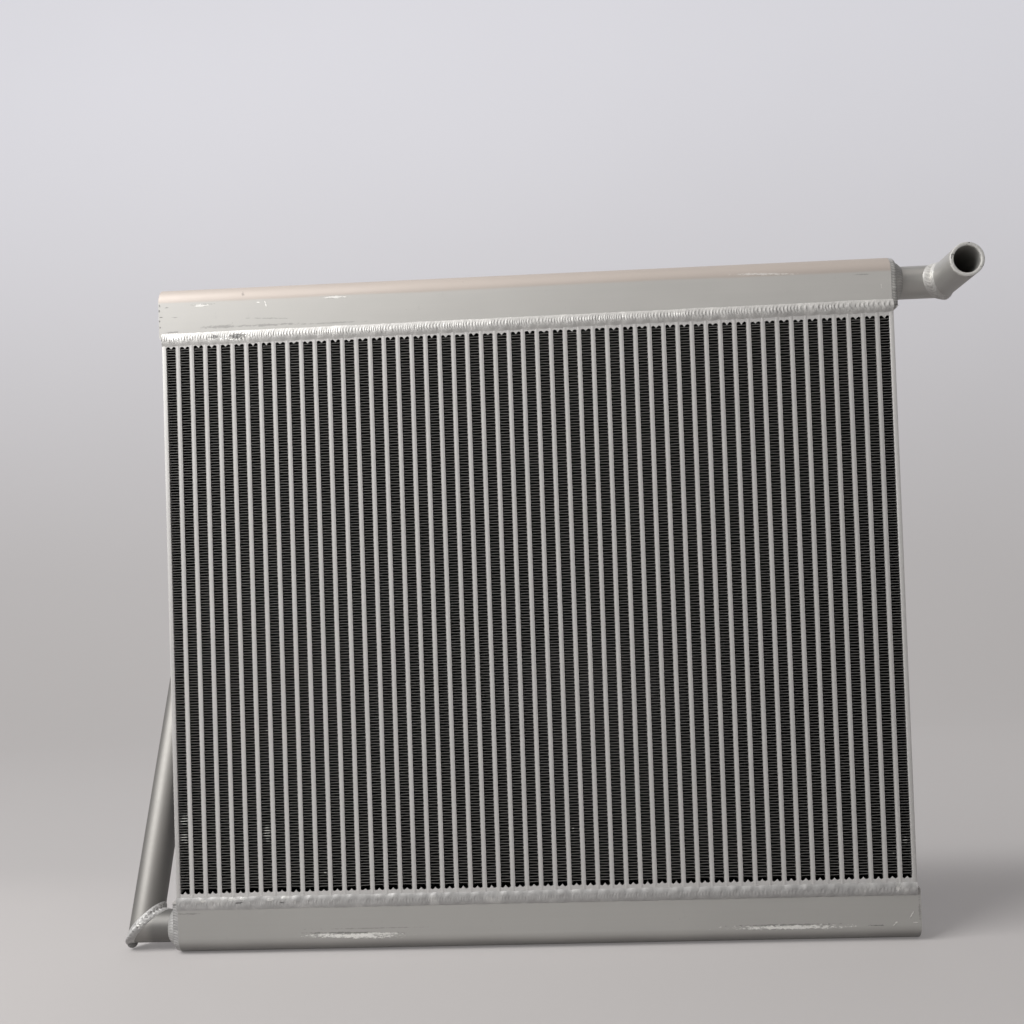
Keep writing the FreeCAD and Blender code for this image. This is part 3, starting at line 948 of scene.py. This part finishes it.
class RADIATOR_OT_welds(RadiatorOperator, bpy.types.Operator):
    """All weld beads, with their ripples"""

    bl_idname = "radiator.welds"
    bl_label = "Weld beads"

    def seam(self, seam_z, outward, out, seed, lumps, laps, shifts):
        """A long bead over the joint between a tank and the core: out is -1 at the front.

        Lumps swell at the columns, laps is the share of its ripples, and shifts move the bead off the joint
        at its left and right end.
        """
        w = self.welds
        step = self.core.column_step
        face = CORE_FRONT if out < 0 else CORE_REAR
        crown = 10
        around = crown + 2

        def place(i, j):
            right = i / SEAM_STATIONS
            x = -PLATE_X + 2 * PLATE_X * right
            across, on_crown = bead_round(j, around, crown)
            mm = x / MM
            over_column = 0.5 + 0.5 * math.cos(2 * math.pi * (x / step + 0.5))
            half = w.seam_width / 2 * (1 + 0.06 * wander(mm, seed, 19.0) + 0.05 * wander(mm, seed + 3, 5.0))
            if across > 0:
                half -= 0.5 * MM * (1 - over_column)
            shift = shifts[0] * (1 - right) + shifts[1] * right
            z = seam_z + outward * (shift - across * half)
            if not on_crown:
                return Vector((x, face - out * 0.2 * MM, z)), 0.5
            arc = max(0.0, 1 - across * across) ** 0.8
            worked = laps * (0.65 + 0.35 * wander(mm, seed + 7, 34.0))
            # Beyond x = 0.12 the ripples lie further and further apart
            beyond = max(0.0, x - 0.12)
            phase = (x - 1.1 * beyond * beyond) / w.ripple_step + 1.6 * wander(mm, seed + 11, 23.0)
            lap = ripple(phase, across + 0.15, 1.7)
            rise = w.seam_height * (0.32 + 0.28 * right + 0.05 * wander(mm, seed + 5, 9.0)) * arc
            rise += w.ripple_height * worked * (lap - 0.4) * arc
            rise += 0.25 * MM * uneven(mm / 2.3, across * 2, seed) * arc
            if across > 0:
                swell = over_column * math.sin(math.pi * across)
                rise += lumps * swell * (0.6 + 0.8 * wander(mm, seed + 9, 13.0))
            # Painted highlight on ripple edges and painted shade in their troughs, with random blotches
            shade = 0.5 + (lap - 0.5) * 0.8 * worked * arc + 0.25 * uneven(mm / 6, across, seed + 2)
            return Vector((x, face + out * max(rise, 0.05 * MM), z)), shade

        return sweep(SEAM_STATIONS, around, place)

    def mitre(self, run, seed):
        """The bead over a mitre, laid along the ellipse where the two pipes meet."""
        w = self.welds
        radius = self.pipes.radius
        crown = 12
        around = crown + 4
        ripples = round(2 * math.pi * radius * 1.2 / (w.ripple_step * 1.4))
        stations = ripples * MITRE_RIPPLE_STATIONS

        def place(i, j):
            turn = 2 * math.pi * i / stations
            across, on_crown = bead_round(j, around, crown)
            point, out = run.on_mitre(turn, radius)
            half = w.mitre_width / 2 * (1 + 0.06 * uneven(math.cos(turn) * 2, math.sin(turn) * 2, seed))
            lean = run.beyond if across > 0 else -run.along
            foot = point + lean * abs(across) * half
            if not on_crown:
                return foot - out * 0.25 * MM, 0.5
            arc = (1 - across * across) ** 0.6
            rise = w.mitre_height * arc * (0.85 + 0.25 * uneven(turn * 3, 0, seed))
            ring = Vector((math.cos(turn) * 3, math.sin(turn) * 3, seed))
            lap = ripple(ripples * turn / (2 * math.pi) + 0.9 * uneven(*ring), across, 1.6)
            clear = 0.85 + 0.8 * uneven(*(ring * 0.7 + Vector((4, 1, 0))))
            rise += w.ripple_height * (lap - 0.6) * clear * arc ** 0.6
            # The second value paints highlight on ripple edges and shade in their troughs
            return foot + out * rise, 0.55 + (lap - 0.5) * clear * arc

        return sweep(stations, around, place, closed=True)

    def stub(self, run, seed):
        """The bead round a stub, from its cap up to the pipe."""
        w = self.welds
        radius = self.pipes.radius
        crown = 8
        around = crown + 2
        ripples = round(2 * math.pi * radius * 1.15 / w.ripple_step)
        stations = ripples * ROUND_RIPPLE_STATIONS
        limit = self.pipes.axis_from_face - self.tanks.cap_margin

        def place(i, j):
            turn = 2 * math.pi * i / stations
            across, on_crown = bead_round(j, around, crown)
            t = (across + 1) / 2
            out = Vector((0, math.cos(turn), math.sin(turn)))
            reach = w.stub_leg_on_cap * (1 + 0.1 * uneven(*(out * 2 + Vector((seed, 0, 0)))))
            along = w.stub_leg_on_pipe * t
            lap = ripple(ripples * turn / (2 * math.pi), across * 0.8, 0.9)
            if on_crown:
                bulge = math.sin(math.pi * t) * (0.5 + 0.7 * lap)
                rise = reach * (1 - t) + bulge * 0.5 * MM
                along += bulge * 0.3 * MM
            else:
                rise = 0.1 * MM + (reach - 0.3 * MM) * (1 - t) * 0.2
            foot = Vector((CAP_FACE_X * run.side, 0, run.start.z))
            point = foot + run.along * along + out * (radius + rise)
            over = (point.z - run.start.z) * run.side - limit
            if over > 0:
                point.z -= over * run.side
            clear = 0.45 + 0.5 * uneven(*(out * 3 + Vector((seed, 5, 0))))
            # Painted shade over the stub's bead, lighter towards the cap, with painted highlight on ripple
            # edges
            return point, 0.1 + (lap - 0.5) * clear + 0.3 * (1 - t)

        return sweep(stations, around, place, closed=True)

    def cap_outline(self, run, share, margin):
        """A point of the tank's outline at a share of the way round, drawn in by a margin.

        The way leads up the front, round a corner, over the closed side, round the other corner, down the
        rear and back along the seam, where there is no margin.
        """
        seam = CORE_HEAD if run.side > 0 else CORE_FOOT
        height = abs((TANK_HIGH.z if run.side > 0 else TANK_LOW.z) - seam)
        half = CORE_REAR
        r = self.tanks.corner_radius
        quarter = math.pi / 2 * r
        parts = [height - r, quarter, 2 * (half - r), quarter, height - r, 2 * half]
        s = share * sum(parts)
        part = 0
        while part < 5 and s >= parts[part]:
            s -= parts[part]
            part += 1
        a = s / r
        y, z, ny, nz = [
            (-half, s, -1, 0),
            (-(half - r) - math.cos(a) * r, height - r + math.sin(a) * r, -math.cos(a), math.sin(a)),
            (-(half - r) + s, height, 0, 1),
            (half - r + math.sin(a) * r, height - r + math.cos(a) * r, math.sin(a), math.cos(a)),
            (half, height - r - s, 1, 0),
            (half - s, 0, 0, -1),
        ][part]
        if nz < 0:
            margin = 0
        return Vector((0, y - ny * margin, seam + run.side * (z - nz * margin))), sum(parts)

    def cap(self, run, seed):
        """The bead round a set-on cap, which slopes from the tank's edge to the cap's face."""
        w = self.welds
        crown = 8
        around = crown + 2
        around_length = self.cap_outline(run, 0, 0)[1]
        ripples = round(around_length / w.ripple_step)
        stations = ripples * ROUND_RIPPLE_STATIONS

        def place(i, j):
            share = i / stations
            across, on_crown = bead_round(j, around, crown)
            t = (across + 1) / 2
            inwards = self.tanks.cap_margin * t
            along = (CAP_FACE_X - PIPE_END_X) * t
            lap = ripple(ripples * share, across * 0.8, 0.9)
            if on_crown:
                bulge = math.sin(math.pi * t) * (0.55 + 0.6 * lap) * (1 + 0.3 * uneven(share * 40, seed, 0))
                inwards -= bulge * 0.9 * MM * t * 1.2
                along += bulge * 0.9 * MM
            else:
                inwards += 0.5 * MM * math.sin(math.pi * t)
                along -= 0.5 * MM * math.sin(math.pi * t)
            point, _ = self.cap_outline(run, share, max(inwards, 0.0))
            point.x = run.side * (PIPE_END_X + along)
            fleck = 1 + uneven(share * 60, seed + 6, 0)
            # Painted highlight flecks on the ripples near the tank's edge, fading to painted shade towards
            # the cap's face
            return point, -0.1 + lap * fleck * (1.3 - 1.2 * t)

        return sweep(stations, around, place, closed=True)

    def corner(self, seam, outward, side):
        """A short bead in the corner between a side plate and what overhangs it."""
        w = self.welds
        crown = 6
        around = crown + 2
        leg = w.cap_corner_leg if side == outward else w.corner_leg

        def place(i, j):
            y = CORE_FRONT + (CORE_REAR - CORE_FRONT) * i / CORNER_BEAD_STATIONS
            across, on_crown = bead_round(j, around, crown)
            t = (across + 1) / 2
            away = leg * (1 - t)
            down = leg * t
            if on_crown:
                lap = ripple(y / w.ripple_step, across * 0.8, 0.8)
                bulge = math.sin(math.pi * t) * (0.35 + 0.5 * lap) * MM
                away += bulge * 0.35
                down += bulge * 0.35
            else:
                away *= 0.15
                down *= 0.15
            return Vector((side * (PLATE_X + away), y, seam - outward * down)), 0.4

        return sweep(CORNER_BEAD_STATIONS, around, place)

    def tip(self):
        """The ball of weld at the inlet's lowest corner."""
        ball = bmesh.new()
        place = Matrix.Translation(TIP_PLACE)
        bmesh.ops.create_icosphere(ball, subdivisions=3, radius=self.welds.tip_ball, matrix=place)
        shade = ball.verts.layers.float.new("shade")
        for v in ball.verts:
            # The ball gets painted shade
            v[shade] = -0.35
        return ball

    def execute(self, context):
        c = self.colours
        bright = [
            ((-326.0, 576.5), (9.0, 5.0)),
            ((-280.0, 573.0), (28.0, 2.5)),
            ((-288.0, 52.0), (6.0, 2.0)),
            ((-276.5, 52.4), (4.5, 2.0)),
            ((-251.0, 51.5), (4.5, 1.8)),
            ((-237.5, 52.8), (5.0, 1.6)),
            ((-315.0, 51.0), (4.0, 2.0)),
            ((322.5, 51.0), (3.0, 5.5)),
            ((376.5, 605.0), (6.0, 7.0)),
            ((341.0, 597.0), (1.8, 12.0)),
            ((-367.0, 38.0), (6.0, 6.0)),
            ((-378.0, 27.0), (6.0, 6.0)),
        ]
        pits_and_shade = [
            ((-267.0, 576.0), (8.0, 3.2)),
            ((-290.0, 576.3), (4.5, 1.8)),
            ((-281.0, 48.5), (4.0, 1.0)),
            ((-240.0, 48.0), (5.0, 1.0)),
            # This patch is painted shade on the tip's ball
            ((-393.0, 8.0), (4.0, 4.0)),
        ]
        metal = make_weld_metal("weld metal", c.weld, c, bright, pits_and_shade)
        # The bottom and inlet beads use the darker copy: painted shade
        shaded = make_weld_metal("dull weld metal", c.shaded_weld, c, bright, pits_and_shade)
        seams = (
            ("top_front", CORE_HEAD, 1, -1, 1.3, 0.2, 1.0, (-2.8, 0.0), metal),
            ("top_rear", CORE_HEAD, 1, 1, 4.1, 0.2, 1.0, (0, 0), metal),
            ("bottom_front", CORE_FOOT, -1, -1, 7.7, 0.7, 0.4, (-0.2, -0.2), shaded),
            ("bottom_rear", CORE_FOOT, -1, 1, 9.2, 0.4, 0.4, (0, 0), shaded),
        )
        for name, seam_z, outward, out, seed, lumps, laps, shifts, skin in seams:
            shifts = [shift * MM for shift in shifts]
            bead = self.seam(seam_z, outward, out, seed, lumps * MM, laps, shifts)
            new_piece(name + "_bead", bead, skin, name + "_seam_weld", BEAD_CREASE)
        for side, top, extra, skin in (("outlet", True, [], metal), ("inlet", False, [self.tip()], shaded)):
            run = PipeRun(self.pipes, top)
            seed = 0 if top else 1
            mitre = joined([self.mitre(run, seed * 3.3), *extra])
            beads = {"mitre": mitre, "stub": self.stub(run, seed * 2.1), "cap": self.cap(run, seed * 1.7)}
            for joint, bead in beads.items():
                new_piece(f"{side}_{joint}_bead", bead, skin, f"{joint}_welds", BEAD_CREASE)
        ends = ((CORE_HEAD, 1, -1), (CORE_HEAD, 1, 1), (CORE_FOOT, -1, -1), (CORE_FOOT, -1, 1))
        corners = joined([self.corner(*end) for end in ends])
        new_piece("corner_beads", corners, metal, "side_seam_welds", BEAD_CREASE)
        return {"FINISHED"}


class RADIATOR_OT_stage(RadiatorOperator, bpy.types.Operator):
    """Floor, backdrop, lights and camera"""

    bl_idname = "radiator.stage"
    bl_label = "Stage"

    def backdrop(self):
        """A floor that curves up into a wall behind the radiator, and looks lighter than it lights."""
        front, rear, bend, height, width = -4.0, 1.3, 0.4, 4.5, 10.0
        bm = bmesh.new()
        start = bm.verts.new((-width / 2, front, 0))
        near = bmesh.ops.extrude_vert_indiv(bm, verts=[start])["verts"][0]
        near.co.y = rear
        turned = quarter_turn(bm, near, (0, rear, bend), 1, 16)
        bmesh.ops.extrude_vert_indiv(bm, verts=[turned])["verts"][0].co.z = height
        draw_out(bm, bm.edges[:], (width, 0, 0))
        bmesh.ops.recalc_face_normals(bm, faces=bm.faces)
        f = Finish("backdrop")
        back = f.span(f.y, 90.0, 380.0)
        up = f.span(f.z, 0.0, 1900.0)
        cloud = f.noise(0.002, 3.0)
        skin = f.tinted(f.mix(up, self.colours.floor, self.colours.wall), 0.98 + cloud * 0.04)
        seen = f.node("ShaderNodeLightPath", output="Is Camera Ray")
        seen = seen.most(f.node("ShaderNodeLightPath", output="Is Glossy Ray"))
        seen = seen.most(f.node("ShaderNodeLightPath", output="Is Transmission Ray"))
        glow = f.span(back, 0.0, 1.0, 0.35, 0.8)
        f.shader.inputs["Emission Strength"].default_value = 1.0
        paper = f.set(
            Base_Color=f.tinted(skin, 1 - seen * glow),
            Emission_Color=f.tinted(skin, seen * glow),
            Roughness=f.span(cloud, 0.0, 1.0, 0.8, 0.9),
        )
        new_object("backdrop", bm, paper)

    def lamp(self, name, place, target, size, power, tint):
        data = bpy.data.lights.new(name, "AREA")
        data.shape = "RECTANGLE"
        data.size, data.size_y = size
        data.energy = power
        data.color = tint
        lamp = bpy.data.objects.new(name, data)
        lamp.location = place
        lamp.rotation_mode = "QUATERNION"
        lamp.rotation_quaternion = (Vector(target) - Vector(place)).to_track_quat("-Z", "Y")
        bpy.context.scene.collection.objects.link(lamp)

    def camera(self):
        """The camera stands before the core's middle, turned and rolled as the measured edges showed."""
        data = bpy.data.cameras.new("camera")
        data.sensor_width = 36
        data.lens = 35.97
        data.shift_x = -0.0298
        data.shift_y = 0.0535
        camera = bpy.data.objects.new("camera", data)
        ahead = Vector((-0.0403, 0.9990, 0.0218)).normalized()
        camera.location = (0.0491, -0.9677, 0.3295)
        camera.rotation_mode = "QUATERNION"
        roll = Quaternion((0, 0, 1), math.radians(-1.945))
        camera.rotation_quaternion = ahead.to_track_quat("-Z", "Y") @ roll
        data.clip_start = 0.01
        data.clip_end = 50
        bpy.context.scene.collection.objects.link(camera)
        bpy.context.scene.camera = camera

    def execute(self, context):
        self.backdrop()
        self.lamp("window", (-1.6, -1.0, 1.8), (0, 0, 0.35), (1.5, 1.5), 86.0, (1.0, 0.995, 0.98))
        self.lamp("ceiling", (0.0, -0.9, 2.4), (0, 0, 0.3), (2.2, 1.6), 9.0, (1.0, 0.93, 0.88))
        world = bpy.data.worlds.new("soft room")
        world.use_nodes = True
        background = world.node_tree.nodes["Background"]
        background.inputs["Color"].default_value = (0.93, 0.95, 1.0, 1)
        background.inputs["Strength"].default_value = 0.14
        bpy.context.scene.world = world
        self.camera()
        bpy.context.scene.view_settings.view_transform = "Standard"
        return {"FINISHED"}


OPERATORS = (
    RADIATOR_OT_stage,
    RADIATOR_OT_bars,
    RADIATOR_OT_fins,
    RADIATOR_OT_tanks,
    RADIATOR_OT_pipes,
    RADIATOR_OT_welds,
)


class RADIATOR_PT_pieces(bpy.types.Panel):
    """Buttons that build the radiator's pieces"""

    bl_idname = "RADIATOR_PT_pieces"
    bl_label = "Radiator"
    bl_space_type = "VIEW_3D"
    bl_region_type = "UI"
    bl_category = "Radiator"

    def draw(self, context):
        for operator in OPERATORS:
            self.layout.operator(operator.bl_idname)
        for name, group in GROUPS.items():
            box = self.layout.box()
            for key in group.__annotations__:
                box.prop(getattr(context.scene, name), key)


def register():
    for name, group in GROUPS.items():
        bpy.utils.register_class(group)
        setattr(bpy.types.Scene, name, PointerProperty(type=group))
    for operator in OPERATORS:
        bpy.utils.register_class(operator)
    bpy.utils.register_class(RADIATOR_PT_pieces)


def unregister():
    bpy.utils.unregister_class(RADIATOR_PT_pieces)
    for operator in reversed(OPERATORS):
        bpy.utils.unregister_class(operator)
    for name, group in GROUPS.items():
        delattr(bpy.types.Scene, name)
        bpy.utils.unregister_class(group)


def main():
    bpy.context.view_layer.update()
    register()
    bpy.ops.radiator.stage()
    bpy.ops.radiator.bars()
    bpy.ops.radiator.fins()
    bpy.ops.radiator.tanks()
    bpy.ops.radiator.pipes()
    bpy.ops.radiator.welds()


if __name__ == "__main__":
    main()
